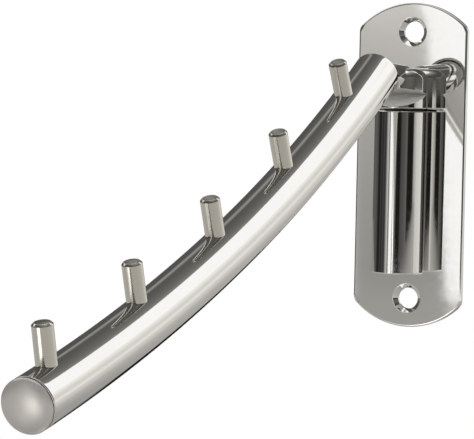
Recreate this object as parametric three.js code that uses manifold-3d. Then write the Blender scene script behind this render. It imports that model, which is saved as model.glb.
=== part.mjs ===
// Wall mounted clothes valet: a polished plate with a welded hinge barrel, and a curved arm tube
// that swings on a pivot pin and carries a row of short hanger pegs.
// Millimetres, +Z up. The origin is the middle of the plate's back face, where it meets the wall.
// The wall is the plane y = 0 and the arm reaches out along -Y.

import * as THREE from 'three';
import { mergeVertices } from 'three/addons/utils/BufferGeometryUtils.js';
import Module from 'manifold-3d';

const wasm = await Module();
wasm.setup();

// Clearance between touching pieces, and how far a cutter runs past what it cuts
const seatGap = 0.3;
const overrun = 2;

// Wall plate
const plateWidth = 49.5;
const plateHeight = 138.6;
const plateThickness = 3;
const plateEndRadius = 34;
const plateCornerRadius = 4.5;
const plateEdgeRound = 0.8;
const screwSpacing = 114;
const screwHoleDiameter = 9;
const countersinkDiameter = 12.4;
const countersinkDepth = 1.7;

// Hinge barrel, welded along the plate
const barrelDiameter = 22;
const barrelWall = 3.8;
const barrelTop = 23.3;
const barrelLength = 68.6;
const barrelChamfer = 0.4;
const weldReach = 6.2;

// Plug that closes the barrel's foot and carries the pin's end
const footPlugThickness = 4;
const footPlugRecess = 1.2;

// Plastic bushings that line the barrel
const bushingWall = 1.4;
const bushingLength = 16;
const bushingFlangeDiameter = 19;
const bushingFlangeThickness = 0.5;
const lowerBushingRise = 8;

// Pivot pin, with a spigot on its top that centres the knuckle
const pinChamfer = 0.8;
const spigotDiameter = 6;
const spigotLength = 2;

// Knuckle, with the neck bar that carries the arm tube
const knuckleDiameter = 21.6;
const knuckleHeight = 16.9;
const knuckleTopRound = 5;
const knuckleFootRound = 0.4;
const neckDiameter = 10.6;
const neckRise = 13;

// Slanted undercut below the neck bar: a wedge that opens to the front
const undercutLip = 0.6;
const undercutRoot = 2;
const undercutRootRise = 6.1;
const undercutMouthRise = 8.7;

// Arm tube, two arcs that join in line, with its slope below level at the inner end, middle and tip
const tubeDiameter = 19;
const tubeWall = 1.2;
const armStart = 27.8;
const armStartRise = 1.4;
const innerArcLength = 150;
const outerArcLength = 150;
const innerSlope = THREE.MathUtils.degToRad(30.5);
const middleSlope = THREE.MathUtils.degToRad(21);
const tipSlope = THREE.MathUtils.degToRad(12.6);

// Plug in the tube's inner end, which the neck bar is welded to
const innerPlugRecess = 0.8;
const innerPlugThickness = 8;
const innerPlugChamfer = 0.5;

// Domed cap on the tip
const capRim = 0.8;
const capDome = 3;
const capChamfer = 0.6;

// Hanger pegs, standing square to the arm along its upper side
const pegCount = 5;
const pegDiameter = 7.3;
const pegLength = 14;
const pegChamfer = 0.8;
const pegStudDiameter = 4.6;
const pegStudInside = 0.8;
const firstPegAt = 34;
const lastPegFromTip = 13;

// Facet counts
const roundFacets = 32;
const tubeFacets = 28;
const tubeSteps = 18;
const pegFacets = 16;
const studFacets = 12;
const arcFacets = 5;
const plateArcFacets = 5;
const plateEdgeFacets = 2;

// Sizes worked out from the ones above
const barrelRadius = barrelDiameter / 2;
const barrelFoot = barrelTop - barrelLength;
const boreRadius = barrelRadius - barrelWall;
const pivotOut = plateThickness + seatGap + barrelRadius;
const bushingRadius = boreRadius - seatGap;
const pinRadius = bushingRadius - bushingWall - seatGap;
const footPlugTop = barrelFoot + footPlugRecess + footPlugThickness;
const flangeFoot = barrelTop + seatGap;
const flangeTop = flangeFoot + bushingFlangeThickness;
const knuckleFoot = flangeTop + seatGap;
const knuckleTop = knuckleFoot + knuckleHeight;
const pinTop = knuckleFoot - seatGap;
const neckHeight = knuckleFoot + neckRise;
const tubeRadius = tubeDiameter / 2;
const tubeBoreRadius = tubeRadius - tubeWall;
const tubePlugRadius = tubeBoreRadius - seatGap;
const armStartHeight = neckHeight + armStartRise;
const armLength = innerArcLength + outerArcLength;
const pegPitch = (armLength - firstPegAt - lastPegFromTip) / (pegCount - 1);
const capDepth = lastPegFromTip - pegDiameter / 2 - seatGap;

const steelColour = 0xb9b7b0;
const polishedSteel = new THREE.MeshStandardMaterial({ color: steelColour, roughness: 0.12, metalness: 1 });
const brushedSteel = new THREE.MeshStandardMaterial({ color: 0xa8a498, roughness: 0.42, metalness: 1 });
const satinSteel = new THREE.MeshStandardMaterial({ color: 0xa8a29a, roughness: 0.5, metalness: 1 });
const blackPlastic = new THREE.MeshStandardMaterial({ color: 0x15151a, roughness: 0.55, metalness: 0 });

// Turns a closed mesh into a solid that can be joined and cut
function solidOf(geometry) {
  const bare = geometry.clone();
  bare.deleteAttribute('normal');
  bare.deleteAttribute('uv');
  const merged = mergeVertices(bare);
  return new wasm.Manifold(new wasm.Mesh({
    numProp: 3,
    vertProperties: new Float32Array(merged.attributes.position.array),
    triVerts: new Uint32Array(merged.index.array),
  }));
}

// Turns a joined or cut solid back into a geometry
function geometryOf(solid) {
  const mesh = solid.getMesh();
  const geometry = new THREE.BufferGeometry();
  geometry.setAttribute('position', new THREE.BufferAttribute(new Float32Array(mesh.vertProperties), 3));
  geometry.setIndex(new THREE.BufferAttribute(new Uint32Array(mesh.triVerts), 1));
  geometry.computeVertexNormals();
  return geometry;
}

// Turned piece about +Z from a profile of [radius, height] points, given from the foot up
function turnedUp(profile, facets) {
  const points = profile.map(([radius, height]) => new THREE.Vector2(radius, height));
  return new THREE.LatheGeometry(points, facets).rotateX(Math.PI / 2);
}

// Turned piece about Y from a profile of [radius, distance] points, the distance running towards the wall
function turnedInward(profile, facets) {
  const points = profile.map(([radius, distance]) => new THREE.Vector2(radius, distance));
  return new THREE.LatheGeometry(points, facets);
}

// The same, with the distance running outwards along the arm
function turnedOutward(profile, facets) {
  return turnedInward(profile, facets).rotateX(Math.PI);
}

// Points of a quarter round from the side of a turned piece to its end face
function quarterRound(radius, height, across, along) {
  const points = [];
  for (let step = 0; step <= arcFacets; step += 1) {
    const angle = (step / arcFacets) * (Math.PI / 2);
    points.push([radius - across * (1 - Math.cos(angle)), height + along * Math.sin(angle)]);
  }
  return points;
}

// Profile of a plain sleeve, closed on itself
function sleeveProfile(innerRadius, outerRadius, foot, top, chamfer) {
  return [
    [innerRadius, foot],
    [outerRadius - chamfer, foot],
    [outerRadius, foot + chamfer],
    [outerRadius, top - chamfer],
    [outerRadius - chamfer, top],
    [innerRadius, top],
    [innerRadius, foot],
  ];
}

function named(name, geometry, material) {
  const mesh = new THREE.Mesh(geometry, material);
  mesh.name = name;
  return mesh;
}

// Plate outline: straight sides, a shallow arc at each end and a small round at each corner
function plateOutline() {
  const halfWidth = plateWidth / 2;
  const arcCentre = plateHeight / 2 - plateEndRadius;
  const cornerX = halfWidth - plateCornerRadius;
  const cornerZ = arcCentre + Math.sqrt((plateEndRadius - plateCornerRadius) ** 2 - cornerX ** 2);
  const turn = Math.atan2(cornerZ - arcCentre, cornerX);
  const outline = new THREE.Shape();
  outline.moveTo(halfWidth, -cornerZ);
  outline.lineTo(halfWidth, cornerZ);
  outline.absarc(cornerX, cornerZ, plateCornerRadius, 0, turn, false);
  outline.absarc(0, arcCentre, plateEndRadius, turn, Math.PI - turn, false);
  outline.absarc(-cornerX, cornerZ, plateCornerRadius, Math.PI - turn, Math.PI, false);
  outline.lineTo(-halfWidth, -cornerZ);
  outline.absarc(-cornerX, -cornerZ, plateCornerRadius, Math.PI, Math.PI + turn, false);
  outline.absarc(0, -arcCentre, plateEndRadius, Math.PI + turn, 2 * Math.PI - turn, false);
  outline.absarc(cornerX, -cornerZ, plateCornerRadius, 2 * Math.PI - turn, 2 * Math.PI, false);
  return outline;
}

// Cutter for one countersunk screw hole, along Y through the plate
function screwHoleCutter(height) {
  const holeRadius = screwHoleDiameter / 2;
  const sinkRadius = countersinkDiameter / 2;
  const profile = [
    [0, -plateThickness - overrun],
    [sinkRadius, -plateThickness - overrun],
    [sinkRadius, -plateThickness],
    [holeRadius, countersinkDepth - plateThickness],
    [holeRadius, overrun],
    [0, overrun],
  ];
  return solidOf(turnedInward(profile, roundFacets).translate(0, 0, height));
}

function wallPlate() {
  const blank = new THREE.ExtrudeGeometry(plateOutline(), {
    depth: plateThickness - 2 * plateEdgeRound,
    curveSegments: plateArcFacets,
    bevelThickness: plateEdgeRound,
    bevelSize: plateEdgeRound,
    bevelOffset: -plateEdgeRound,
    bevelSegments: plateEdgeFacets,
  });
  blank.translate(0, 0, plateEdgeRound).rotateX(Math.PI / 2);
  let plate = solidOf(blank);
  for (const side of [-1, 1]) {
    plate = plate.subtract(screwHoleCutter((side * screwSpacing) / 2));
  }
  return named('wall_plate', geometryOf(plate), polishedSteel);
}

function hingeBarrel() {
  const profile = sleeveProfile(boreRadius, barrelRadius, barrelFoot, barrelTop, barrelChamfer);
  return named('hinge_barrel', turnedUp(profile, roundFacets), polishedSteel);
}

// Fillet weld in the corner between the barrel and the plate, on one side
function barrelWeld(name, side) {
  const faceOut = barrelRadius;
  const roundRadius = barrelRadius + seatGap;
  const startAngle = Math.acos(faceOut / roundRadius);
  const endAngle = Math.asin(weldReach / roundRadius);
  const section = new THREE.Shape();
  section.moveTo(roundRadius * Math.sin(endAngle), faceOut);
  for (let step = 0; step <= arcFacets; step += 1) {
    const angle = endAngle + (startAngle - endAngle) * (step / arcFacets);
    section.lineTo(roundRadius * Math.sin(angle), roundRadius * Math.cos(angle));
  }
  const bead = new THREE.ExtrudeGeometry(section, { depth: barrelLength, bevelEnabled: false });
  bead.translate(0, 0, barrelFoot);
  if (side < 0) {
    bead.rotateY(Math.PI).translate(0, 0, barrelFoot + barrelTop);
  }
  return named(name, bead, brushedSteel);
}

function footPlug() {
  const foot = barrelFoot + footPlugRecess;
  const profile = [
    [0, foot],
    [bushingRadius, foot],
    [bushingRadius, footPlugTop],
    [0, footPlugTop],
  ];
  return named('barrel_foot_plug', turnedUp(profile, roundFacets), brushedSteel);
}

function lowerBushing() {
  const foot = barrelFoot + lowerBushingRise;
  const profile = sleeveProfile(bushingRadius - bushingWall, bushingRadius, foot, foot + bushingLength, 0);
  return named('lower_bushing', turnedUp(profile.filter(distinct), roundFacets), blackPlastic);
}

// True for a profile point that differs from the one before it
function distinct(point, index, profile) {
  const before = profile[index - 1];
  return index === 0 || before[0] !== point[0] || before[1] !== point[1];
}

// Flanged sleeve: its flange shows as the dark ring between the barrel and the knuckle
function upperBushing() {
  const innerRadius = bushingRadius - bushingWall;
  const flangeRadius = bushingFlangeDiameter / 2;
  const foot = barrelTop - bushingLength;
  const profile = [
    [innerRadius, foot],
    [bushingRadius, foot],
    [bushingRadius, flangeFoot],
    [flangeRadius, flangeFoot],
    [flangeRadius, flangeTop],
    [innerRadius, flangeTop],
    [innerRadius, foot],
  ];
  return named('upper_bushing', turnedUp(profile, roundFacets), blackPlastic);
}

function pivotPin() {
  const foot = footPlugTop + seatGap;
  const spigotRadius = spigotDiameter / 2;
  const profile = [
    [0, foot],
    [pinRadius - pinChamfer, foot],
    [pinRadius, foot + pinChamfer],
    [pinRadius, pinTop],
    [spigotRadius, pinTop],
    [spigotRadius, pinTop + spigotLength],
    [0, pinTop + spigotLength],
  ];
  return named('pivot_pin', turnedUp(profile, roundFacets), brushedSteel);
}

// Slope of the arm below level, at a length along it from the inner end
function slopeAt(length) {
  if (length <= innerArcLength) {
    return innerSlope + (middleSlope - innerSlope) * (length / innerArcLength);
  }
  return middleSlope + (tipSlope - middleSlope) * ((length - innerArcLength) / outerArcLength);
}

// Where one arc of the arm gets to from its own start, as [reach, rise]
function alongArc(startSlope, endSlope, arcLength, length) {
  const radius = arcLength / (startSlope - endSlope);
  const slope = startSlope + (endSlope - startSlope) * (length / arcLength);
  return [radius * (Math.sin(startSlope) - Math.sin(slope)), radius * (Math.cos(startSlope) - Math.cos(slope))];
}

// Centre line of the arm, seen from the pivot axis
function armPoint(length) {
  const innerPart = Math.min(length, innerArcLength);
  const outerPart = Math.max(length - innerArcLength, 0);
  const [innerReach, innerRise] = alongArc(innerSlope, middleSlope, innerArcLength, innerPart);
  const [outerReach, outerRise] = alongArc(middleSlope, tipSlope, outerArcLength, outerPart);
  return new THREE.Vector3(0, -(armStart + innerReach + outerReach), armStartHeight + innerRise + outerRise);
}

class ArmLine extends THREE.Curve {
  getPoint(share) {
    return armPoint(share * armLength);
  }
}

// Place on the arm whose Z stands square to it on the upper side and whose -Y runs along it
function station(length) {
  const place = new THREE.Group();
  place.position.copy(armPoint(length));
  place.rotation.x = slopeAt(length);
  place.updateMatrix();
  return place;
}

function pegLengths() {
  return Array.from({ length: pegCount }, (unused, index) => firstPegAt + index * pegPitch);
}

// Wedge that is cut from the knuckle's front, from its root behind the pivot axis out to past the front
function undercutCutter() {
  const root = knuckleFoot + undercutRootRise;
  const frontOut = knuckleDiameter / 2;
  const run = frontOut + undercutRoot;
  const reach = (run + overrun) / run;
  const lip = root - (undercutRootRise - undercutLip) * reach;
  const mouth = root + (undercutMouthRise - undercutRootRise) * reach;
  const section = new THREE.Shape();
  section.moveTo(undercutRoot, root);
  section.lineTo(-frontOut - overrun, mouth);
  section.lineTo(-frontOut - overrun, lip);
  section.closePath();
  const wedge = new THREE.ExtrudeGeometry(section, { depth: 2 * knuckleDiameter, bevelEnabled: false });
  wedge.translate(0, 0, -knuckleDiameter);
  const alongY = new THREE.Vector3(0, 1, 0);
  const alongZ = new THREE.Vector3(0, 0, 1);
  const alongX = new THREE.Vector3(1, 0, 0);
  return solidOf(wedge.applyMatrix4(new THREE.Matrix4().makeBasis(alongY, alongZ, alongX)));
}

// Round bar from the pivot axis into the arm's inner end
function neckBar() {
  const start = new THREE.Vector3(0, 0, neckHeight);
  const end = armPoint(0);
  const length = start.distanceTo(end) + tubeRadius;
  const neck = new THREE.CylinderGeometry(neckDiameter / 2, neckDiameter / 2, length, tubeFacets);
  neck.translate(0, -length / 2, 0);
  neck.rotateX(Math.atan2(start.z - end.z, start.y - end.y));
  neck.translate(0, 0, neckHeight);
  const trimStart = seatGap - innerPlugRecess;
  const trim = turnedInward([
    [0, -2 * tubeDiameter],
    [tubeDiameter, -2 * tubeDiameter],
    [tubeDiameter, trimStart],
    [0, trimStart],
  ], tubeFacets).applyMatrix4(station(0).matrix);
  return solidOf(neck).subtract(solidOf(trim));
}

// Knuckle with its neck bar, drilled for the pin's spigot and undercut below the bar
function knuckle() {
  const radius = knuckleDiameter / 2;
  const block = turnedUp([
    [0, knuckleFoot],
    [radius - knuckleFootRound, knuckleFoot],
    [radius, knuckleFoot + knuckleFootRound],
    ...quarterRound(radius, knuckleTop - knuckleTopRound, knuckleTopRound, knuckleTopRound),
    [0, knuckleTop],
  ], roundFacets);
  const socketRadius = spigotDiameter / 2 + seatGap;
  const socketTop = pinTop + spigotLength + seatGap;
  const socket = turnedUp([
    [0, knuckleFoot - overrun],
    [socketRadius, knuckleFoot - overrun],
    [socketRadius, socketTop],
    [0, socketTop],
  ], tubeFacets);
  const forged = solidOf(block).subtract(undercutCutter()).add(neckBar()).subtract(solidOf(socket));
  return named('knuckle', geometryOf(forged), polishedSteel);
}

// Plug set a little way into the arm's inner end
function innerPlug() {
  const foot = -innerPlugRecess - innerPlugThickness;
  const plug = turnedInward([
    [0, foot],
    [tubePlugRadius - innerPlugChamfer, foot],
    [tubePlugRadius, foot + innerPlugChamfer],
    [tubePlugRadius, -innerPlugRecess - innerPlugChamfer],
    [tubePlugRadius - innerPlugChamfer, -innerPlugRecess],
    [0, -innerPlugRecess],
  ], tubeFacets);
  const place = station(0);
  place.add(named('inner_end_plug', plug, polishedSteel));
  return place;
}

// Curved tube, drilled along its upper side for the peg studs
function armTube() {
  const section = new THREE.Shape().absarc(0, 0, tubeRadius, 0, 2 * Math.PI, false);
  section.holes.push(new THREE.Path().absarc(0, 0, tubeBoreRadius, 0, 2 * Math.PI, true));
  const swept = new THREE.ExtrudeGeometry(section, {
    curveSegments: tubeFacets / 2,
    steps: tubeSteps,
    bevelEnabled: false,
    extrudePath: new ArmLine(),
  });
  let tube = solidOf(swept);
  for (const length of pegLengths()) {
    const drill = turnedUp([
      [0, 0],
      [pegStudDiameter / 2 + seatGap, 0],
      [pegStudDiameter / 2 + seatGap, tubeRadius + overrun],
      [0, tubeRadius + overrun],
    ], studFacets).applyMatrix4(station(length).matrix);
    tube = tube.subtract(solidOf(drill));
  }
  return named('arm_tube', geometryOf(tube), polishedSteel);
}

// Peg with a chamfered top, a foot that follows the tube and a stud through the tube's wall
function hangerPeg(index, length) {
  const radius = pegDiameter / 2;
  const top = tubeRadius + pegLength;
  const body = turnedUp([
    [0, 0],
    [radius, 0],
    [radius, top - pegChamfer],
    [radius - pegChamfer, top],
    [0, top],
  ], pegFacets);
  const bed = new THREE.CylinderGeometry(tubeRadius + seatGap, tubeRadius + seatGap, tubeDiameter, roundFacets);
  const stud = turnedUp([
    [0, tubeBoreRadius - pegStudInside],
    [pegStudDiameter / 2, tubeBoreRadius - pegStudInside],
    [pegStudDiameter / 2, tubeRadius + pegStudDiameter],
    [0, tubeRadius + pegStudDiameter],
  ], studFacets);
  const peg = solidOf(body).subtract(solidOf(bed)).add(solidOf(stud));
  const place = station(length);
  place.add(named(`peg_${index + 1}`, geometryOf(peg), satinSteel));
  return place;
}

// Domed cap: a spigot inside the tube, a narrow rim and a low dome
function tipCap() {
  const dome = [];
  for (let step = 0; step <= arcFacets; step += 1) {
    const angle = (step / arcFacets) * (Math.PI / 2);
    dome.push([step === arcFacets ? 0 : tubeRadius * Math.cos(angle), seatGap + capRim + capDome * Math.sin(angle)]);
  }
  const cap = turnedOutward([
    [0, -capDepth],
    [tubePlugRadius - capChamfer, -capDepth],
    [tubePlugRadius, capChamfer - capDepth],
    [tubePlugRadius, seatGap],
    [tubeRadius, seatGap],
    ...dome,
  ], tubeFacets);
  const place = station(armLength);
  place.add(named('tip_cap', cap, satinSteel));
  return place;
}

// Everything that turns on the barrel's axis
function bracketHinge() {
  const hinge = new THREE.Group();
  hinge.position.y = -pivotOut;
  hinge.add(hingeBarrel(), barrelWeld('barrel_weld_right', 1), barrelWeld('barrel_weld_left', -1));
  hinge.add(footPlug(), lowerBushing(), upperBushing());
  return hinge;
}

// The arm that swings
function swingArm() {
  const arm = new THREE.Group();
  arm.position.y = -pivotOut;
  arm.add(pivotPin(), knuckle(), innerPlug(), armTube());
  pegLengths().forEach((length, index) => arm.add(hangerPeg(index, length)));
  arm.add(tipCap());
  return arm;
}

const valet = new THREE.Group();
valet.add(wallPlate(), bracketHinge(), swingArm());

export default valet;
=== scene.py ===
"""Looks of the wall mounted clothes valet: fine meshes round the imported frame, finishes, light and camera.
Metres, +Z up, the wall plane at y = 0, the arm reaching out along -Y."""

import math

import bmesh
import bpy
from mathutils import Matrix, Vector

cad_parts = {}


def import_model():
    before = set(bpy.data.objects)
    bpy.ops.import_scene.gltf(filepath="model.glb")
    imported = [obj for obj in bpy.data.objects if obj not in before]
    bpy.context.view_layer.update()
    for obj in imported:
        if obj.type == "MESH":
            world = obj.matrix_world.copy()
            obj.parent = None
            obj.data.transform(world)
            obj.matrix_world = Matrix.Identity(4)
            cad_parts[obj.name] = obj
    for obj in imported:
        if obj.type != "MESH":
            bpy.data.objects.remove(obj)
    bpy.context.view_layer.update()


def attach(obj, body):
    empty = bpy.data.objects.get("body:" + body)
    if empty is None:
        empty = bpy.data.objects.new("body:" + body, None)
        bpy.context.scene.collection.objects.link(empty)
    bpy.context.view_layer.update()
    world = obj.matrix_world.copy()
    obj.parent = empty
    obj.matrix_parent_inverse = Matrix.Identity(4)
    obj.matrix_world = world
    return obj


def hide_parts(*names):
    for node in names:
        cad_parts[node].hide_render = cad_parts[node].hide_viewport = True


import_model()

# The photograph's frame, in pixels, and the lens that matches its perspective
PHOTO_WIDTH_PX = 474
FOCAL_LENGTH_PX = 2515
SENSOR_WIDTH_MM = 36
CAMERA_AT = Vector((0.4003, -1.0038, 0.0317))
CAMERA_HEADING = math.radians(25.7)
CAMERA_DROP = math.radians(3.0)
CAMERA_ROLL = math.radians(1.17)
CAMERA_NEAR_LIMIT = 0.05

# Room between neighbouring pieces, and the round of a plain edge
SEAT_GAP = 0.0003
EDGE_ROUND = 0.0003

# Wall plate
PLATE_WIDTH = 0.0495
PLATE_HEIGHT = 0.1386
PLATE_THICKNESS = 0.003
PLATE_END_RADIUS = 0.034
PLATE_CORNER_RADIUS = 0.0045
PLATE_EDGE_ROUND = 0.0008
SCREW_SPACING = 0.114
SCREW_HOLE_RADIUS = 0.0045
COUNTERSINK_RADIUS = 0.0062
COUNTERSINK_DEPTH = 0.0017
HOLE_EDGE_ROUND = 0.00025

# Hinge barrel
BARREL_RADIUS = 0.011
BARREL_BORE = 0.0072
BARREL_TOP = 0.0233
BARREL_FOOT = -0.0453
BARREL_RIM_ROUND = 0.0005

# Its welds, whose faces are hollow; a ripple's crest fills a share of the hollow
WELD_REACH = 0.0062
WELD_HOLLOW = 0.0005
WELD_CREST_SHARE = 0.7
WELD_RIPPLES = 34

# Foot plug, bushings and pivot pin
FOOT_PLUG_RECESS = 0.0012
FOOT_PLUG_THICKNESS = 0.004
FOOT_PLUG_CHAMFER = 0.0005
BUSHING_WALL = 0.0014
BUSHING_LENGTH = 0.016
LOWER_BUSHING_RISE = 0.008
FLANGE_RADIUS = 0.0095
FLANGE_THICKNESS = 0.0005
PIN_CHAMFER = 0.0008
SPIGOT_RADIUS = 0.003
SPIGOT_LENGTH = 0.002

# Knuckle, its neck bar, and the wedge cut from its front
KNUCKLE_RADIUS = 0.0108
KNUCKLE_HEIGHT = 0.0169
KNUCKLE_TOP_ROUND = 0.005
KNUCKLE_FOOT_ROUND = 0.0004
NECK_RADIUS = 0.0053
NECK_RISE = 0.013
UNDERCUT_LIP = 0.0006
UNDERCUT_ROOT = 0.002
UNDERCUT_ROOT_RISE = 0.0061
UNDERCUT_MOUTH_RISE = 0.0087
UNDERCUT_OVERRUN = 0.002

# Arm tube and the plug in its inner end
TUBE_RADIUS = 0.0095
TUBE_BORE = 0.0083
ARM_START = 0.0278
ARM_START_RISE = 0.0014
ARC_LENGTH = 0.15
INNER_SLOPE = math.radians(30.5)
MIDDLE_SLOPE = math.radians(21)
TIP_SLOPE = math.radians(12.6)
INNER_PLUG_RECESS = 0.0008
INNER_PLUG_THICKNESS = 0.008

# Tip cap, with the groove round its rim, and pegs
CAP_RIM = 0.0008
CAP_GROOVE = 0.00045
CAP_GROOVE_DEPTH = 0.0006
CAP_DOME = 0.003
PEG_COUNT = 5
PEG_RADIUS = 0.00365
PEG_LENGTH = 0.014
PEG_CHAMFER = 0.0008
FIRST_PEG_AT = 0.034
LAST_PEG_FROM_TIP = 0.013

# Places worked out from the sizes above
PIVOT_Y = -(PLATE_THICKNESS + SEAT_GAP + BARREL_RADIUS)
PIVOT = Matrix.Translation((0, PIVOT_Y, 0))
BUSHING_RADIUS = BARREL_BORE - SEAT_GAP
BUSHING_BORE = BUSHING_RADIUS - BUSHING_WALL
PIN_RADIUS = BUSHING_BORE - SEAT_GAP
FOOT_PLUG_TOP = BARREL_FOOT + FOOT_PLUG_RECESS + FOOT_PLUG_THICKNESS
FLANGE_FOOT = BARREL_TOP + SEAT_GAP
FLANGE_TOP = FLANGE_FOOT + FLANGE_THICKNESS
KNUCKLE_FOOT = FLANGE_TOP + SEAT_GAP
KNUCKLE_TOP = KNUCKLE_FOOT + KNUCKLE_HEIGHT
NECK_HEIGHT = KNUCKLE_FOOT + NECK_RISE
ARM_START_HEIGHT = NECK_HEIGHT + ARM_START_RISE
ARM_LENGTH = 2 * ARC_LENGTH
CAP_DEPTH = LAST_PEG_FROM_TIP - PEG_RADIUS - SEAT_GAP
PEG_PITCH = (ARM_LENGTH - FIRST_PEG_AT - LAST_PEG_FROM_TIP) / (PEG_COUNT - 1)

# How finely round shapes are cut: points round a circle, then steps along a curve
ROUND = 96
FINE_ROUND = 128
TUBE_ROUND = 112
SMALL_ROUND = 64
CORNER_STEPS = 5
SMALL_CORNER_STEPS = 3
KNUCKLE_CORNER_STEPS = 12
PLATE_EDGE_STEPS = 6
PLATE_CORNER_STEPS = 8
PLATE_END_STEPS = 16
WELD_SLICES = 6
WELD_ARC_STEPS = 5
TUBE_STEPS = 150
DOME_STEPS = 20

# Tolerances: two points taken as one, points taken to lie in a plane, an edge taken as sharp
SAME_POINT = 1e-7
FLAT_ENOUGH = 0.00002
SHARP_ANGLE = math.radians(40)


def add_object(name, data):
    made = bpy.data.objects.new(name, data)
    bpy.context.scene.collection.objects.link(made)
    return made


def mesh_from(name, bm):
    mesh = bpy.data.meshes.new(name)
    bm.to_mesh(mesh)
    bm.free()
    return mesh


def closed_object(name, bm):
    """Object of a closed shape, its doubled points merged and its faces turned outwards."""
    bmesh.ops.remove_doubles(bm, verts=bm.verts, dist=SAME_POINT)
    bmesh.ops.recalc_face_normals(bm, faces=bm.faces)
    return add_object(name, mesh_from(name, bm))


def finish_mesh(name, bm, material, place=None):
    """Turns a bmesh into a smooth shaded object of the scene."""
    piece = closed_object(name, bm)
    mesh = piece.data
    mesh.polygons.foreach_set("use_smooth", [True] * len(mesh.polygons))
    mesh.set_sharp_from_angle(angle=SHARP_ANGLE)
    mesh.materials.append(material)
    if place is not None:
        piece.matrix_world = place
    weighted = piece.modifiers.new("weighted_normals", "WEIGHTED_NORMAL")
    weighted.keep_sharp = True
    return piece


def around(count):
    """Evenly spaced angles of a full turn."""
    return [2 * math.pi * index / count for index in range(count)]


def circle(radius, height, count=ROUND):
    """Ring of points about Z, or one point where there is no radius."""
    if radius < SAME_POINT:
        return [Vector((0, 0, height))]
    return [Vector((radius * math.cos(turn), radius * math.sin(turn), height)) for turn in around(count)]


def loft(bm, rings, wrap=False):
    """Faces between neighbouring rings; a ring of one point is a pole. Returns the rings' vertices."""
    made = [[bm.verts.new(point) for point in ring] for ring in rings]
    pairs = list(zip(made, made[1:]))
    if wrap:
        pairs.append((made[-1], made[0]))
    for near, far in pairs:
        count = max(len(near), len(far))
        for index in range(count):
            following = (index + 1) % count
            corners = [near[index % len(near)], near[following % len(near)],
                       far[following % len(far)], far[index % len(far)]]
            face = list(dict.fromkeys(corners))
            if len(face) > 2:
                bm.faces.new(face)
    return made


def turned(bm, profile, wrap=False, count=ROUND):
    """Turned shape about Z from (radius, height) points."""
    return loft(bm, [circle(radius, height, count) for radius, height in profile], wrap)


def rounded(points, radii, steps=CORNER_STEPS):
    """Profile with rounded corners: radii names each corner's radius by its index."""
    out = []
    for index, point in enumerate(points):
        radius = radii.get(index, 0)
        here = Vector(point)
        if radius == 0:
            out.append(here)
            continue
        before = (Vector(points[index - 1]) - here).normalized()
        after = (Vector(points[(index + 1) % len(points)]) - here).normalized()
        half = before.angle(after) / 2
        reach = radius / math.tan(half)
        start = here + before * reach
        end = here + after * reach
        centre = here + (before + after).normalized() * (radius / math.sin(half))
        opening = (start - centre).angle(end - centre)
        for step in range(steps + 1):
            turn = opening * step / steps
            near = math.sin(opening - turn) / math.sin(opening)
            far = math.sin(turn) / math.sin(opening)
            out.append(centre + (start - centre) * near + (end - centre) * far)
    return out


def arm_slope(length):
    if length <= ARC_LENGTH:
        return INNER_SLOPE + (MIDDLE_SLOPE - INNER_SLOPE) * length / ARC_LENGTH
    return MIDDLE_SLOPE + (TIP_SLOPE - MIDDLE_SLOPE) * (length - ARC_LENGTH) / ARC_LENGTH


def along_arc(start, end, length):
    """Reach and rise after a length of an arc whose slope goes from start to end."""
    radius = ARC_LENGTH / (start - end)
    now = start + (end - start) * length / ARC_LENGTH
    return radius * (math.sin(start) - math.sin(now)), radius * (math.cos(start) - math.cos(now))


def arm_point(length):
    """Centre line of the arm, at a length from its inner end."""
    reach, rise = along_arc(INNER_SLOPE, MIDDLE_SLOPE, min(length, ARC_LENGTH))
    more_reach, more_rise = along_arc(MIDDLE_SLOPE, TIP_SLOPE, max(length - ARC_LENGTH, 0))
    return Vector((0, PIVOT_Y - ARM_START - reach - more_reach, ARM_START_HEIGHT + rise + more_rise))


def station(length):
    """Place on the arm whose Z stands square to it on the upper side and whose -Y runs along it."""
    return Matrix.Translation(arm_point(length)) @ Matrix.Rotation(arm_slope(length), 4, "X")


# Fine marks and slow clouds in the finishes: their detail, the marks' usual range, and the depth of relief
MARK_DETAIL = 4.0
CLOUD_DETAIL = 3.0
CLOUD_SCALE = 60.0
MARK_LOW, MARK_HIGH = 0.3, 0.7
RELIEF_DEPTH = 0.0001
EVEN = (1, 1, 1)

# Pale and dark tint of each finish
POLISHED_TINTS = (0.95, 0.945, 0.925, 1), (0.9, 0.892, 0.87, 1)
BRUSHED_TINTS = (0.6, 0.585, 0.56, 1), (0.5, 0.49, 0.47, 1)
CUT_TINTS = (0.97, 0.965, 0.945, 1), (0.8, 0.795, 0.775, 1)
SATIN_TINTS = (0.9, 0.875, 0.8, 1), (0.82, 0.795, 0.725, 1)
CAP_TINTS = (0.72, 0.692, 0.66, 1), (0.64, 0.612, 0.58, 1)
# Near black tint of the tip cap's groove: painted shade in the groove
GROOVE_SHADE_TINTS = (0.06, 0.058, 0.055, 1), (0.03, 0.029, 0.028, 1)
PLASTIC_TINTS = (0.03, 0.03, 0.033, 1), (0.012, 0.012, 0.014, 1)
FLOOR_TINTS = (0.93, 0.93, 0.925, 1), (0.9, 0.9, 0.895, 1)

PLASTIC_GRAIN = 3000.0
PLASTIC_DETAIL = 2.0
PLASTIC_RELIEF = 0.1
PLASTIC_ROUGHNESS = 0.5

# Sockets of the Mix node that carry its two colours and its result
FIRST_COLOUR, SECOND_COLOUR, MIXED_COLOUR = 6, 7, 2

# Slot of the second finish, on the two pieces that have one
SECOND_FINISH = 1


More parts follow.
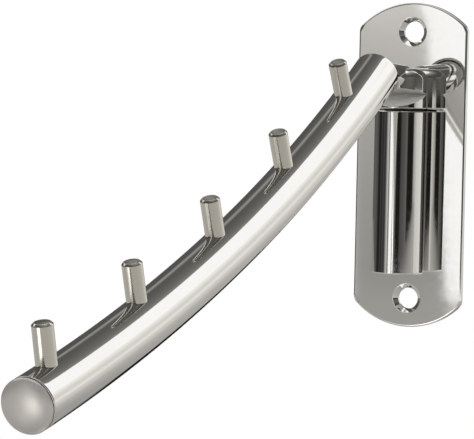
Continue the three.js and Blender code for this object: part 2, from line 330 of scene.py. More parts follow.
class Nodes:
    """Short way to write a material's nodes."""

    def __init__(self, name):
        self.material = bpy.data.materials.new(name)
        self.material.use_nodes = True
        self.tree = self.material.node_tree
        self.shader = self.tree.nodes["Principled BSDF"]

    def add(self, kind, sockets=None, **settings):
        """Adds a node. A socket given another node's output is linked to it, any other is set."""
        made = self.tree.nodes.new(kind)
        for key, value in settings.items():
            setattr(made, key, value)
        for key, value in (sockets or {}).items():
            if isinstance(value, bpy.types.NodeSocket):
                self.tree.links.new(value, made.inputs[key])
            else:
                made.inputs[key].default_value = value
        return made

    def noise(self, place, scale, detail):
        sockets = {"Vector": place, "Scale": scale, "Detail": detail}
        return self.add("ShaderNodeTexNoise", sockets).outputs["Fac"]

    def blend(self, factor, tints):
        pale, dark = tints
        sockets = {"Factor": factor, FIRST_COLOUR: pale, SECOND_COLOUR: dark}
        return self.add("ShaderNodeMix", sockets, data_type="RGBA").outputs[MIXED_COLOUR]

    def bump(self, height, strength):
        sockets = {"Height": height, "Strength": strength, "Distance": RELIEF_DEPTH}
        return self.add("ShaderNodeBump", sockets).outputs["Normal"]

    def fade(self, value, start, end):
        """One up to the start, then softly down to nothing at the end."""
        sockets = {"Value": value, "From Min": start, "From Max": end, "To Min": 1.0, "To Max": 0.0}
        return self.add("ShaderNodeMapRange", sockets, interpolation_type="SMOOTHSTEP").outputs["Result"]

    def shade(self, **values):
        for key, value in values.items():
            socket = self.shader.inputs[key.replace("_", " ")]
            if isinstance(value, bpy.types.NodeSocket):
                self.tree.links.new(value, socket)
            else:
                socket.default_value = value


def steel(name, tints, rough, grain, relief, streak=EVEN, metallic=1.0):
    """Steel whose tint and roughness wander a little, with fine marks, long where streak is small."""
    nodes = Nodes(name)
    place = nodes.add("ShaderNodeTexCoord").outputs["Object"]
    stretched = nodes.add("ShaderNodeMapping", {"Vector": place, "Scale": streak}).outputs["Vector"]
    marks = nodes.noise(stretched, grain, MARK_DETAIL)
    tint = nodes.blend(nodes.noise(place, CLOUD_SCALE, CLOUD_DETAIL), tints)
    smoothest, roughest = rough
    sockets = {"Value": marks, "From Min": MARK_LOW, "From Max": MARK_HIGH, "To Min": smoothest,
               "To Max": roughest}
    roughness = nodes.add("ShaderNodeMapRange", sockets).outputs["Result"]
    nodes.shade(Metallic=metallic, Base_Color=tint, Roughness=roughness, Normal=nodes.bump(marks, relief))
    return nodes.material


def black_plastic():
    nodes = Nodes("black_plastic")
    place = nodes.add("ShaderNodeTexCoord").outputs["Object"]
    speck = nodes.noise(place, PLASTIC_GRAIN, PLASTIC_DETAIL)
    nodes.shade(Base_Color=nodes.blend(speck, PLASTIC_TINTS), Roughness=PLASTIC_ROUGHNESS,
                Normal=nodes.bump(speck, PLASTIC_RELIEF))
    return nodes.material


POLISHED = steel("polished_steel", POLISHED_TINTS, rough=(0.03, 0.06), grain=400.0, relief=0.02)
PLATE_STEEL = steel("plate_steel", POLISHED_TINTS, rough=(0.03, 0.05), grain=400.0, relief=0.005)
DRAWN_STEEL = steel("drawn_steel", POLISHED_TINTS, rough=(0.03, 0.07), grain=1500.0, relief=0.03,
                    streak=(1, 0.015, 0.03))
BRUSHED = steel("brushed_steel", BRUSHED_TINTS, rough=(0.3, 0.45), grain=4000.0, relief=0.3,
                streak=(0.05, 0.05, 1))
CUT_STEEL = steel("cut_steel", CUT_TINTS, rough=(0.25, 0.4), grain=2600.0, relief=0.35,
                  streak=(0.06, 1, 1), metallic=0.6)
SATIN = steel("satin_steel", SATIN_TINTS, rough=(0.13, 0.22), grain=2500.0, relief=0.12,
              streak=(1, 1, 0.12))
CAP_SATIN = steel("cap_satin", CAP_TINTS, rough=(0.3, 0.4), grain=2500.0, relief=0.1, metallic=0.6)
# Near black steel for the tip cap's groove: painted shade in the groove
GROOVE_SHADE_STEEL = steel("groove_painted_shade", GROOVE_SHADE_TINTS, rough=(0.4, 0.6), grain=2500.0, relief=0.1)
BLACK = black_plastic()


def plate_ring(inset, y):
    """The plate's outline drawn in by inset, at a depth y."""
    arc_centre = PLATE_HEIGHT / 2 - PLATE_END_RADIUS
    corner_x = PLATE_WIDTH / 2 - PLATE_CORNER_RADIUS
    corner_z = arc_centre + math.sqrt((PLATE_END_RADIUS - PLATE_CORNER_RADIUS) ** 2 - corner_x ** 2)
    corner_turn = math.atan2(corner_z - arc_centre, corner_x)
    quarter = []
    radius = PLATE_CORNER_RADIUS - inset
    for step in range(PLATE_CORNER_STEPS + 1):
        turn = corner_turn * step / PLATE_CORNER_STEPS
        quarter.append((corner_x + radius * math.cos(turn), corner_z + radius * math.sin(turn)))
    radius = PLATE_END_RADIUS - inset
    for step in range(1, PLATE_END_STEPS + 1):
        turn = corner_turn + (math.pi / 2 - corner_turn) * step / PLATE_END_STEPS
        quarter.append((radius * math.cos(turn), arc_centre + radius * math.sin(turn)))
    upper = quarter + [(-x, z) for x, z in reversed(quarter[:-1])]
    outline = upper + [(-x, -z) for x, z in upper]
    return [Vector((x, y, z)) for x, z in outline]


def screw_hole(bm, middle):
    """Wall of the countersunk hole at a height. Returns its rings, the front one first."""
    front = -PLATE_THICKNESS
    corners = [(COUNTERSINK_RADIUS + HOLE_EDGE_ROUND, front), (COUNTERSINK_RADIUS, front),
               (SCREW_HOLE_RADIUS, front + COUNTERSINK_DEPTH), (SCREW_HOLE_RADIUS, 0)]
    rings = []
    for radius, y in rounded(corners, {1: HOLE_EDGE_ROUND, 2: HOLE_EDGE_ROUND}, SMALL_CORNER_STEPS):
        rings.append([Vector((radius * math.cos(turn), y, middle + radius * math.sin(turn)))
                      for turn in around(SMALL_ROUND)])
    return loft(bm, rings)


def wall_plate():
    """The edge, rounded at the front and the back, the two holes, and the flat faces between them."""
    bm = bmesh.new()
    turns = [(math.pi / 2) * step / PLATE_EDGE_STEPS for step in range(PLATE_EDGE_STEPS + 1)]
    rings = []
    for turn in turns:
        rings.append(plate_ring(PLATE_EDGE_ROUND * (1 - math.sin(turn)),
                                PLATE_EDGE_ROUND * (1 - math.cos(turn)) - PLATE_THICKNESS))
    for turn in turns:
        rings.append(plate_ring(PLATE_EDGE_ROUND * (1 - math.cos(turn)),
                                -PLATE_EDGE_ROUND * (1 - math.sin(turn))))
    walls = [loft(bm, rings)] + [screw_hole(bm, side * SCREW_SPACING / 2) for side in (-1, 1)]
    for end in (0, -1):
        edges = []
        for wall in walls:
            ring = wall[end]
            for index, vert in enumerate(ring):
                edges.append(bm.edges.get((vert, ring[(index + 1) % len(ring)])))
        bmesh.ops.triangle_fill(bm, use_beauty=True, edges=edges)
    return finish_mesh("plate_polished", bm, PLATE_STEEL)


def hinge_barrel():
    bm = bmesh.new()
    corners = [(BARREL_BORE, BARREL_FOOT), (BARREL_RADIUS, BARREL_FOOT),
               (BARREL_RADIUS, BARREL_TOP), (BARREL_BORE, BARREL_TOP)]
    turned(bm, rounded(corners, {1: BARREL_RIM_ROUND, 2: BARREL_RIM_ROUND}), wrap=True, count=FINE_ROUND)
    return finish_mesh("barrel_polished", bm, POLISHED, PIVOT)


def barrel_weld(name, side):
    """Fillet weld in the corner between the barrel and the plate, laid in overlapping ripples."""
    bm = bmesh.new()
    radius = BARREL_RADIUS + SEAT_GAP
    start = math.acos(BARREL_RADIUS / radius)
    end = math.asin(WELD_REACH / radius)
    arc = []
    for step in range(WELD_ARC_STEPS + 1):
        turn = start + (end - start) * step / WELD_ARC_STEPS
        arc.append((radius * math.sin(turn), radius * math.cos(turn)))
    edge_x, edge_y = arc[-1]
    slices = WELD_RIPPLES * WELD_SLICES
    rings = []
    for index in range(slices + 1):
        height = BARREL_FOOT + (BARREL_TOP - BARREL_FOOT) * index / slices
        depth = WELD_HOLLOW * (1 - WELD_CREST_SHARE * abs(math.sin(math.pi * index / WELD_SLICES)))
        face = []
        for step in range(1, WELD_ARC_STEPS):
            share = step / WELD_ARC_STEPS
            face_x = edge_x - depth * math.sin(math.pi * share)
            face_y = edge_y + (BARREL_RADIUS - edge_y) * share
            face.append((face_x, face_y))
        section = arc + face + [(edge_x, BARREL_RADIUS)]
        rings.append([Vector((side * x, y, height)) for x, y in section])
    first_middle = sum(rings[0], Vector()) / len(rings[0])
    last_middle = sum(rings[-1], Vector()) / len(rings[-1])
    loft(bm, [[first_middle]] + rings + [[last_middle]])
    return finish_mesh(name, bm, BRUSHED, PIVOT)


def foot_plug():
    bm = bmesh.new()
    foot = BARREL_FOOT + FOOT_PLUG_RECESS
    turned(bm, [(0, foot), (BUSHING_RADIUS - FOOT_PLUG_CHAMFER, foot),
                (BUSHING_RADIUS, foot + FOOT_PLUG_CHAMFER), (BUSHING_RADIUS, FOOT_PLUG_TOP),
                (0, FOOT_PLUG_TOP)])
    return finish_mesh("foot_plug_brushed", bm, BRUSHED, PIVOT)


def lower_bushing():
    bm = bmesh.new()
    foot = BARREL_FOOT + LOWER_BUSHING_RISE
    top = foot + BUSHING_LENGTH
    turned(bm, [(BUSHING_BORE, foot), (BUSHING_RADIUS, foot), (BUSHING_RADIUS, top), (BUSHING_BORE, top)],
           wrap=True)
    return finish_mesh("bushing_plain", bm, BLACK, PIVOT)


def upper_bushing():
    """Sleeve whose flange lies between the barrel's top and the knuckle."""
    bm = bmesh.new()
    foot = BARREL_TOP - BUSHING_LENGTH
    corners = [(BUSHING_BORE, foot), (BUSHING_RADIUS, foot), (BUSHING_RADIUS, FLANGE_FOOT),
               (FLANGE_RADIUS, FLANGE_FOOT), (FLANGE_RADIUS, FLANGE_TOP), (BUSHING_BORE, FLANGE_TOP)]
    turned(bm, rounded(corners, {3: EDGE_ROUND / 3, 4: EDGE_ROUND / 3}), wrap=True)
    return finish_mesh("bushing_flanged", bm, BLACK, PIVOT)


def pivot_pin():
    bm = bmesh.new()
    foot = FOOT_PLUG_TOP + SEAT_GAP
    top = KNUCKLE_FOOT - SEAT_GAP
    turned(bm, [(0, foot), (PIN_RADIUS - PIN_CHAMFER, foot), (PIN_RADIUS, foot + PIN_CHAMFER),
                (PIN_RADIUS, top), (SPIGOT_RADIUS, top), (SPIGOT_RADIUS, top + SPIGOT_LENGTH),
                (0, top + SPIGOT_LENGTH)])
    return finish_mesh("pin_brushed", bm, BRUSHED, PIVOT)


def knuckle_block():
    bm = bmesh.new()
    corners = [(0, KNUCKLE_FOOT), (KNUCKLE_RADIUS, KNUCKLE_FOOT), (KNUCKLE_RADIUS, KNUCKLE_TOP),
               (0, KNUCKLE_TOP)]
    turned(bm, rounded(corners, {1: KNUCKLE_FOOT_ROUND, 2: KNUCKLE_TOP_ROUND}, KNUCKLE_CORNER_STEPS),
           count=FINE_ROUND)
    return closed_object("block", bm)


def wedge_section():
    """Side view of the wedge as (y, z) points: its root behind the axis, then its mouth and its lip, which
    both lie an overrun past the knuckle's front."""
    root = KNUCKLE_FOOT + UNDERCUT_ROOT_RISE
    run = KNUCKLE_RADIUS + UNDERCUT_ROOT
    reach = (run + UNDERCUT_OVERRUN) / run
    mouth = root + (UNDERCUT_MOUTH_RISE - UNDERCUT_ROOT_RISE) * reach
    lip = root - (UNDERCUT_ROOT_RISE - UNDERCUT_LIP) * reach
    front = -KNUCKLE_RADIUS - UNDERCUT_OVERRUN
    return [(UNDERCUT_ROOT, root), (front, mouth), (front, lip)]


def wedge():
    bm = bmesh.new()
    section = wedge_section()
    half_width = 2 * KNUCKLE_RADIUS
    near, far = [[bm.verts.new((x, y, z)) for y, z in section] for x in (-half_width, half_width)]
    bm.faces.new(near)
    bm.faces.new(far)
    for index in range(len(section)):
        following = (index + 1) % len(section)
        bm.faces.new([near[index], near[following], far[following], far[index]])
    return closed_object("wedge", bm)


def neck_bar():
    """Bar that starts inside the knuckle. Its end is cut parallel to the face of the tube's inner plug, and
    stays a seat's gap away from it."""
    bm = bmesh.new()
    start = Vector((0, 0, NECK_HEIGHT))
    end = arm_point(0) - Vector((0, PIVOT_Y, 0))
    along = (end - start).normalized()
    level = Vector((1, 0, 0))
    upright = level.cross(along)
    slope = Vector((0, -math.cos(INNER_SLOPE), -math.sin(INNER_SLOPE)))
    plug_face = end + slope * (INNER_PLUG_RECESS - SEAT_GAP)
    inner = []
    outer = []
    for turn in around(ROUND):
        offset = level * NECK_RADIUS * math.cos(turn) + upright * NECK_RADIUS * math.sin(turn)
        point = start + offset
        inner.append(point)
        outer.append(point + along * ((plug_face - point).dot(slope) / along.dot(slope)))
    loft(bm, [[start], inner, outer, [plug_face]])
    return closed_object("neck", bm)


def combined(block, steps):
    """The block joined with or cut by other objects, as a new bmesh; the objects themselves are removed."""
    for tool, operation in steps:
        change = block.modifiers.new(operation.lower(), "BOOLEAN")
        change.operation = operation
        change.solver = "EXACT"
        change.object = tool
    ready = block.evaluated_get(bpy.context.evaluated_depsgraph_get())
    bm = bmesh.new()
    bm.from_mesh(ready.to_mesh())
    ready.to_mesh_clear()
    for used in [block] + [tool for tool, operation in steps]:
        mesh = used.data
        bpy.data.objects.remove(used)
        bpy.data.meshes.remove(mesh)
    return bm


def knuckle():
    """Round block with a slanted wedge cut from its front and the neck bar running out of it into the tube.
    The faces that the wedge leaves have the cut finish."""
    joined = combined(knuckle_block(), [(wedge(), "DIFFERENCE"), (neck_bar(), "UNION")])
    piece = finish_mesh("knuckle_polished", joined, POLISHED, PIVOT)
    piece.data.materials.append(CUT_STEEL)
    root, *ends = [Vector(corner) for corner in wedge_section()]
    for end in ends:
        along = (end - root).normalized()
        for face in piece.data.polygons:
            away = [Vector(piece.data.vertices[index].co[1:]) - root for index in face.vertices]
            if all(abs(point.cross(along)) < FLAT_ENOUGH for point in away):
                face.material_index = SECOND_FINISH
    return piece


def inner_plug():
    bm = bmesh.new()
    top = -INNER_PLUG_RECESS
    foot = top - INNER_PLUG_THICKNESS
    radius = TUBE_BORE - SEAT_GAP
    turned(bm, rounded([(0, foot), (radius, foot), (radius, top), (0, top)], {2: EDGE_ROUND}))
    place = station(0) @ Matrix.Rotation(-math.pi / 2, 4, "X")
    return finish_mesh("inner_plug_polished", bm, POLISHED, place)


def tube_ring(length, radius):
    place = station(length)
    ring = [Vector((radius * math.cos(turn), 0, radius * math.sin(turn))) for turn in around(TUBE_ROUND)]
    return [place @ point for point in ring]


def arm_tube():
    """The outside from the inner end to the tip, rounded at both ends, then the bore back again."""
    bm = bmesh.new()
    rings = [tube_ring(0, TUBE_RADIUS - EDGE_ROUND),
             tube_ring(EDGE_ROUND / 3, TUBE_RADIUS - EDGE_ROUND / 3)]
    for step in range(TUBE_STEPS + 1):
        length = EDGE_ROUND + (ARM_LENGTH - 2 * EDGE_ROUND) * step / TUBE_STEPS
        rings.append(tube_ring(length, TUBE_RADIUS))
    rings.append(tube_ring(ARM_LENGTH - EDGE_ROUND / 3, TUBE_RADIUS - EDGE_ROUND / 3))
    rings.append(tube_ring(ARM_LENGTH, TUBE_RADIUS - EDGE_ROUND))
    for step in range(TUBE_STEPS, -1, -1):
        rings.append(tube_ring(ARM_LENGTH * step / TUBE_STEPS, TUBE_BORE))
    loft(bm, rings, wrap=True)
    return finish_mesh("arm_tube_polished", bm, DRAWN_STEEL)


def tip_cap():
    """Plug, rim and low dome. The groove round the rim is given near black steel, as painted shade in the
    groove.
    """
    bm = bmesh.new()
    plug_radius = TUBE_BORE - SEAT_GAP
    rim_top = SEAT_GAP + CAP_RIM
    groove_foot = rim_top - CAP_GROOVE
    groove_floor = TUBE_RADIUS - CAP_GROOVE_DEPTH
    plug = [(0, -CAP_DEPTH), (plug_radius, -CAP_DEPTH), (plug_radius, SEAT_GAP / 2),
            (TUBE_RADIUS - SEAT_GAP / 3, SEAT_GAP / 2), (TUBE_RADIUS, SEAT_GAP)]
    groove = [(TUBE_RADIUS, groove_foot), (groove_floor, groove_foot), (groove_floor, rim_top),
              (TUBE_RADIUS, rim_top)]
    dome = []
    for step in range(1, DOME_STEPS + 1):
        turn = (math.pi / 2) * step / DOME_STEPS
        dome.append((TUBE_RADIUS * math.cos(turn), rim_top + CAP_DOME * math.sin(turn)))
    rings = turned(bm, plug + groove + dome, count=FINE_ROUND)
    in_groove = {vert for ring in rings[len(plug):len(plug) + len(groove)] for vert in ring}
    for face in bm.faces:
        if in_groove.issuperset(face.verts):
            face.material_index = SECOND_FINISH
    place = station(ARM_LENGTH) @ Matrix.Rotation(math.pi / 2, 4, "X")
    piece = finish_mesh("tip_cap_satin", bm, CAP_SATIN, place)
    piece.data.materials.append(GROOVE_SHADE_STEEL)
    return piece


def hanger_peg(index, length):
    """Chamfered pin at a length along the arm, its foot shaped to the tube's round."""
    bm = bmesh.new()
    top = TUBE_RADIUS + PEG_LENGTH
    corners = [(PEG_RADIUS, 0), (PEG_RADIUS, top - PEG_CHAMFER), (PEG_RADIUS - PEG_CHAMFER, top), (0, top)]
    profile = rounded(corners, {1: PEG_CHAMFER / 4, 2: PEG_CHAMFER / 4}, SMALL_CORNER_STEPS)
    seat = TUBE_RADIUS + SEAT_GAP / 4
    foot = []
    for turn in around(SMALL_ROUND):
        across = PEG_RADIUS * math.cos(turn)
        foot.append(Vector((across, PEG_RADIUS * math.sin(turn), math.sqrt(seat ** 2 - across ** 2))))
    loft(bm, [[Vector((0, 0, seat))], foot] + [circle(radius, z, SMALL_ROUND) for radius, z in profile[1:]])
    return finish_mesh(f"peg_satin_{index + 1}", bm, SATIN, station(length))


def ride_for(piece, body, slot, *nodes):
    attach(piece, body)
    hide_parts(*nodes)


ride_for(wall_plate(), "base", "polished_steel", "wall_plate")
ride_for(hinge_barrel(), "base", "polished_steel", "hinge_barrel")
ride_for(barrel_weld("weld_bead_right", 1), "base", "brushed_steel", "barrel_weld_right")
ride_for(barrel_weld("weld_bead_left", -1), "base", "brushed_steel", "barrel_weld_left")
ride_for(foot_plug(), "base", "brushed_steel", "barrel_foot_plug")
ride_for(lower_bushing(), "base", "black_plastic", "lower_bushing")
ride_for(upper_bushing(), "base", "black_plastic", "upper_bushing")
ride_for(pivot_pin(), "arm", "brushed_steel", "pivot_pin")
ride_for(knuckle(), "arm", "polished_steel", "knuckle")
ride_for(inner_plug(), "arm", "polished_steel", "inner_end_plug")
ride_for(arm_tube(), "arm", "polished_steel", "arm_tube")
ride_for(tip_cap(), "arm", "satin_steel", "tip_cap")
for number in range(PEG_COUNT):
    peg = hanger_peg(number, FIRST_PEG_AT + number * PEG_PITCH)
    ride_for(peg, "arm", "satin_steel", f"peg_{number + 1}")


def camera():
    forward = Vector((-math.sin(CAMERA_HEADING) * math.cos(CAMERA_DROP),
                      math.cos(CAMERA_HEADING) * math.cos(CAMERA_DROP), -math.sin(CAMERA_DROP)))
    level = forward.cross(Vector((0, 0, 1))).normalized()
    upright = level.cross(forward)
    right = level * math.cos(CAMERA_ROLL) + upright * math.sin(CAMERA_ROLL)
    up = upright * math.cos(CAMERA_ROLL) - level * math.sin(CAMERA_ROLL)
    data = bpy.data.cameras.new("camera")
    data.sensor_width = SENSOR_WIDTH_MM
    data.lens = FOCAL_LENGTH_PX * SENSOR_WIDTH_MM / PHOTO_WIDTH_PX
    data.clip_start = CAMERA_NEAR_LIMIT
    eye = add_object("camera", data)
    turn = Matrix((right, up, -forward)).transposed().to_4x4()
    eye.matrix_world = Matrix.Translation(CAMERA_AT) @ turn
    bpy.context.scene.camera = eye


WORLD_LIGHT = 0.55


def world():
    """White for the camera and for what steel mirrors or glass lets through, softer as a light."""
    made = bpy.data.worlds.new("studio")
    bpy.context.scene.world = made
    made.use_nodes = True
    tree = made.node_tree
    tree.nodes.clear()
    path = tree.nodes.new("ShaderNodeLightPath")
    seen = path.outputs["Is Camera Ray"]
    for name in ("Is Glossy Ray", "Is Transmission Ray"):
        either = tree.nodes.new("ShaderNodeMath")
        either.operation = "MAXIMUM"
        tree.links.new(seen, either.inputs[0])
        tree.links.new(path.outputs[name], either.inputs[1])
        seen = either.outputs[0]
    white = tree.nodes.new("ShaderNodeBackground")
    light = tree.nodes.new("ShaderNodeBackground")
    for background, strength in ((white, 1.0), (light, WORLD_LIGHT)):
        background.inputs["Color"].default_value = (1, 1, 1, 1)
        background.inputs["Strength"].default_value = strength
    mix = tree.nodes.new("ShaderNodeMixShader")
    tree.links.new(seen, mix.inputs[0])
    tree.links.new(light.outputs[0], mix.inputs[1])
    tree.links.new(white.outputs[0], mix.inputs[2])
    out = tree.nodes.new("ShaderNodeOutputWorld")
    tree.links.new(mix.outputs[0], out.inputs["Surface"])


MIDDLE_OF_PART = Vector((0, -0.15, 0))


def soft_box(name, place, size, power):
    """Large soft lamp aimed at the part, for plain surfaces; the polished steel mirrors the cards."""
    data = bpy.data.lights.new(name, "AREA")
    data.shape = "SQUARE"
    data.size = size
    data.energy = power
    lamp = add_object(name, data)
    turn = (MIDDLE_OF_PART - place).to_track_quat("-Z", "Y").to_matrix().to_4x4()
    lamp.matrix_world = Matrix.Translation(place) @ turn
    lamp.visible_glossy = False


camera()
world()
soft_box("key_soft_box", place=Vector((0.9, -1.2, 1.1)), size=1.2, power=9.0)
soft_box("fill_soft_box", place=Vector((-1.3, -0.9, 0.6)), size=1.4, power=4.0)

# Floor: whole out to one radius, gone at the other
FLOOR_HEIGHT = -0.75
FLOOR_RADIUS = 3.4
FLOOR_WHOLE_RADIUS = 1.2
FLOOR_RINGS = 8
FLOOR_GRAIN = 30.0
FLOOR_DETAIL = 3.0
FLOOR_ROUGHNESS = 0.9


def floor():
    """Plain pale floor well below the part, thinning out into the white background at its edge."""
    bm = bmesh.new()
    centre = Vector((0, MIDDLE_OF_PART.y, FLOOR_HEIGHT))
    rings = []
    for ring in range(FLOOR_RINGS + 1):
        rings.append([centre + point for point in circle(FLOOR_RADIUS * ring / FLOOR_RINGS, 0)])
    loft(bm, rings)
    piece = add_object("floor", mesh_from("floor", bm))
    nodes = Nodes("floor_pale")
    place = nodes.add("ShaderNodeTexCoord").outputs["Object"]
    from_middle = nodes.add("ShaderNodeVectorMath", {0: place, 1: centre}, operation="DISTANCE")
    whole = nodes.fade(from_middle.outputs["Value"], FLOOR_WHOLE_RADIUS, FLOOR_RADIUS)
    tint = nodes.blend(nodes.noise(place, FLOOR_GRAIN, FLOOR_DETAIL), FLOOR_TINTS)
    nodes.shade(Base_Color=tint, Alpha=whole, Roughness=FLOOR_ROUGHNESS)
    piece.data.materials.append(nodes.material)
    piece.visible_glossy = False


floor()

# Grey cards on a sphere round the part: its radius, each card's step inwards, mesh step in degrees, warmth
CARD_RADIUS = 3.0
CARD_STEP = 0.003
CARD_FACET = 2.5
CARD_WARMTH = (1.0, 0.975, 0.93)

# Middle of a card in its own map, and so also how far the middle is from an edge
MAP_MIDDLE = 0.5


def card_mesh(name, left, right, low, high, radius):
    """Patch of the sphere. Its left and right edges run from one azimuth at the foot to another at the top,
    in degrees; azimuth 0 is in front of the wall and 90 to the right. Low and high are elevations."""
    bm = bmesh.new()
    uv = bm.loops.layers.uv.new("UVMap")
    rows = math.ceil((high - low) / CARD_FACET)
    columns = math.ceil(max(right[0] - left[0], right[1] - left[1]) / CARD_FACET)
    grid = []
    for row in range(rows + 1):
        up = row / rows
        elevation = math.radians(low + (high - low) * up)
        start = left[0] + (left[1] - left[0]) * up
        end = right[0] + (right[1] - right[0]) * up
        line = []
        for column in range(columns + 1):
            across = column / columns
            azimuth = math.radians(start + (end - start) * across)
            aim = Vector((math.sin(azimuth) * math.cos(elevation), -math.cos(azimuth) * math.cos(elevation),
                          math.sin(elevation)))
            line.append((bm.verts.new(MIDDLE_OF_PART + aim * radius), (across, up)))
        grid.append(line)
    for lower, upper in zip(grid, grid[1:]):
        for column in range(columns):
            corners = [lower[column], lower[column + 1], upper[column + 1], upper[column]]
            face = bm.faces.new([vert for vert, place in corners])
            for loop, (vert, place) in zip(face.loops, corners):
                loop[uv].uv = place
    return mesh_from(name, bm)


def warm_grey(shade):
    return tuple(shade * share for share in CARD_WARMTH) + (1,)


def card_material(name, shades, soft_across, soft_up, along):
    """Glowing grey that fades out at the card's edges, over a share of its width and of its height. Shades
    are one grey, or (place, grey) stops along X, from left to right, or along Y, from foot to top."""
    nodes = Nodes(name)
    nodes.tree.nodes.remove(nodes.shader)
    place = nodes.add("ShaderNodeUVMap").outputs["UV"]
    split = nodes.add("ShaderNodeSeparateXYZ", {"Vector": place})
    fades = []
    for axis, soft in (("X", soft_across), ("Y", soft_up)):
        centred = nodes.add("ShaderNodeMath", {0: split.outputs[axis], 1: MAP_MIDDLE}, operation="SUBTRACT")
        away = nodes.add("ShaderNodeMath", {0: centred.outputs[0]}, operation="ABSOLUTE")
        fades.append(nodes.fade(away.outputs[0], MAP_MIDDLE - soft, MAP_MIDDLE))
    mask = nodes.add("ShaderNodeMath", {0: fades[0], 1: fades[1]}, operation="MULTIPLY")
    clear = nodes.add("ShaderNodeBsdfTransparent")
    if isinstance(shades, tuple):
        ramp = nodes.add("ShaderNodeValToRGB", {"Fac": split.outputs[along]})
        elements = ramp.color_ramp.elements
        elements[0].color = warm_grey(shades[0][1])
        elements[1].color = warm_grey(shades[-1][1])
        for stop, shade in shades[1:-1]:
            elements.new(stop).color = warm_grey(shade)
        grey = nodes.add("ShaderNodeEmission", {"Color": ramp.outputs["Color"]})
    else:
        grey = nodes.add("ShaderNodeEmission", {"Color": warm_grey(shades)})
    mix = nodes.add("ShaderNodeMixShader", {0: mask.outputs[0], 1: clear.outputs[0], 2: grey.outputs[0]})
    nodes.tree.links.new(mix.outputs[0], nodes.tree.nodes["Material Output"].inputs["Surface"])
    return nodes.material


def both_ends(azimuth):
    """Foot and top of an edge. An upright edge is written as one azimuth."""
    return azimuth if isinstance(azimuth, tuple) else (azimuth, azimuth)


def card(order, name, left, right, low, high, shades, soft_across, soft_up, along="X"):
    """A card that is seen only in the steel. It stands a little in front of those of a lower order."""
    mesh = card_mesh(name, both_ends(left), both_ends(right), low, high, CARD_RADIUS - CARD_STEP * order)
    piece = add_object(name, mesh)
    mesh.materials.append(card_material(name, shades, soft_across, soft_up, along))
    piece.visible_camera = False
    piece.visible_diffuse = False
    piece.visible_shadow = False
    piece.visible_transmission = False


# Directions that several cards share, in degrees; the barrel mirrors elevations between the first two
BELOW_BARREL = -5.7
ABOVE_BARREL = 0.4
FRONT_TOP = 24
LEFT_START = -152
RIGHT_END = 134
PLATE_START = -24.9

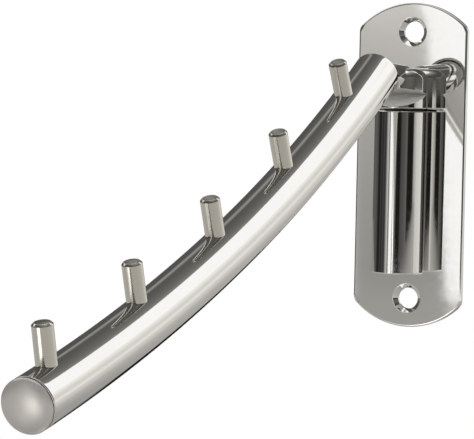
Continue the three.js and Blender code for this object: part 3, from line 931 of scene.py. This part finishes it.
CARDS = [
    # Low all round: the grey that the lower sides mirror
    dict(name="card_low", left=-180, right=180, low=-80, high=BELOW_BARREL, along="Y",
         shades=((0, 0.34), (0.45, 0.4), (0.75, 0.42), (0.93, 0.47), (1, 0.6)),
         soft_across=0.0005, soft_up=0.01),
    # Low in front: the bright line down each peg, the bright patch of the tip cap and its greyer foot
    dict(name="card_peg_line", left=(-72, -28), right=(-56, -10), low=-64, high=-20,
         shades=0.85, soft_across=0.2, soft_up=0.03),
    dict(name="card_cap", left=(-30, -26), right=(6, -12), low=-38, high=-10,
         shades=2.7, soft_across=0.3, soft_up=0.3),
    dict(name="card_cap_low", left=-95, right=-20, low=-78, high=-40,
         shades=0.3, soft_across=0.3, soft_up=0.3),
    # Low at the back: the tube's lower side, from white through greys
    dict(name="card_low_back", left=126, right=196, low=-46, high=23, along="Y",
         shades=((0, 0.28), (0.35, 0.36), (0.5, 0.47), (0.59, 0.62), (0.64, 0.66), (0.68, 0.8), (0.73, 0.8),
                 (0.78, 0.68), (0.85, 0.72), (0.92, 0.85), (1, 0.95)), soft_across=0.12, soft_up=0.03),
    # Behind the wall and overhead: the tube's dark upper side with a paler streak, and its outline
    dict(name="card_back", left=(177, 146), right=(217, 243), low=-2, high=72,
         shades=((0, 0.27), (0.06, 0.2), (0.2, 0.15), (0.4, 0.12), (0.6, 0.098), (0.7, 0.1), (0.755, 0.25),
                 (0.79, 0.31), (0.83, 0.11), (0.92, 0.09), (1, 0.08)), soft_across=0.012, soft_up=0.03),
    dict(name="card_outline", left=(183, 195), right=(214, 222), low=-25, high=18,
         shades=0.008, soft_across=0.06, soft_up=0.1),
    # Left: the dark stripes of the barrel's left side and of the plate's left edge
    dict(name="card_left", left=LEFT_START, right=PLATE_START, low=-8, high=30,
         shades=((0, 0.08), (0.32, 0.11), (0.44, 0.075), (0.49, 0.06), (0.525, 0.016), (0.615, 0.014),
                 (0.64, 0.05), (0.695, 0.03), (0.735, 0.03), (0.765, 0.06), (0.82, 0.035), (0.865, 0.06),
                 (0.91, 0.35), (0.975, 0.55), (0.98, 0.1), (1, 0.03)), soft_across=0.001, soft_up=0.015),
    # The paler wedge low on the barrel's left
    dict(name="card_left_foot", left=LEFT_START, right=(-84, -128), low=BELOW_BARREL, high=-3.2,
         shades=0.27, soft_across=0.05, soft_up=0.03),
    # In front and right: the grey, black, dark grey, black and grey stripes right of the barrel's highlight
    dict(name="card_front", left=-9, right=88, low=BELOW_BARREL, high=FRONT_TOP,
         shades=((0, 0.5), (0.07, 0.33), (0.13, 0.15), (0.17, 0.08), (0.2, 0.01), (0.35, 0.01),
                 (0.38, 0.05), (0.44, 0.075), (0.5, 0.08), (0.6, 0.1), (0.66, 0.13), (0.7, 0.012),
                 (0.88, 0.008), (1, 0.03)),
         soft_across=0.02, soft_up=0.015),
    dict(name="card_right", left=86, right=131, low=BELOW_BARREL, high=0.5,
         shades=((0, 0.25), (0.15, 0.4), (0.4, 0.6), (1, 0.68)), soft_across=0.01, soft_up=0.02),
    # The paler wedge low on the barrel's right
    dict(name="card_front_foot", left=(14, 89), right=100, low=BELOW_BARREL, high=-2.8,
         shades=((0, 0.1), (0.2, 0.15), (0.5, 0.27), (0.8, 0.36), (1, 0.42)),
         soft_across=0.08, soft_up=0.02),
    # Above the barrel's stripes: the plain dark grey of the knuckle's side, and its dark top
    dict(name="card_right_high", left=86, right=RIGHT_END, low=ABOVE_BARREL, high=30,
         shades=0.06, soft_across=0.03, soft_up=0.02),
    dict(name="card_knuckle_left", left=-112, right=-26, low=ABOVE_BARREL, high=FRONT_TOP,
         shades=0.08, soft_across=0.03, soft_up=0.02),
    dict(name="card_knuckle_right", left=-19.5, right=RIGHT_END, low=ABOVE_BARREL, high=FRONT_TOP,
         shades=((0, 0.12), (0.2, 0.085), (0.4, 0.1), (0.55, 0.12), (0.7, 0.08), (0.85, 0.095), (1, 0.1)),
         soft_across=0.01, soft_up=0.02),
    dict(name="card_overhead", left=(-70, -87), right=(RIGHT_END, 147), low=23, high=72, along="Y",
         shades=((0, 0.07), (0.45, 0.075), (0.75, 0.2), (1, 0.5)), soft_across=0.03, soft_up=0.05),
    # The grey of the plate, darker towards its foot, up to the white strip along its right edge
    dict(name="card_plate", left=PLATE_START, right=(-20.85, -23.75), low=-10, high=14, along="Y",
         shades=((0, 0.36), (0.16, 0.34), (0.2, 0.3), (0.29, 0.32), (0.37, 0.37), (0.46, 0.45), (0.56, 0.6),
                 (1, 0.62)), soft_across=0.03, soft_up=0.02),
]
for order, settings in enumerate(CARDS):
    card(order, **settings)

bpy.context.scene.view_settings.view_transform = "Standard"
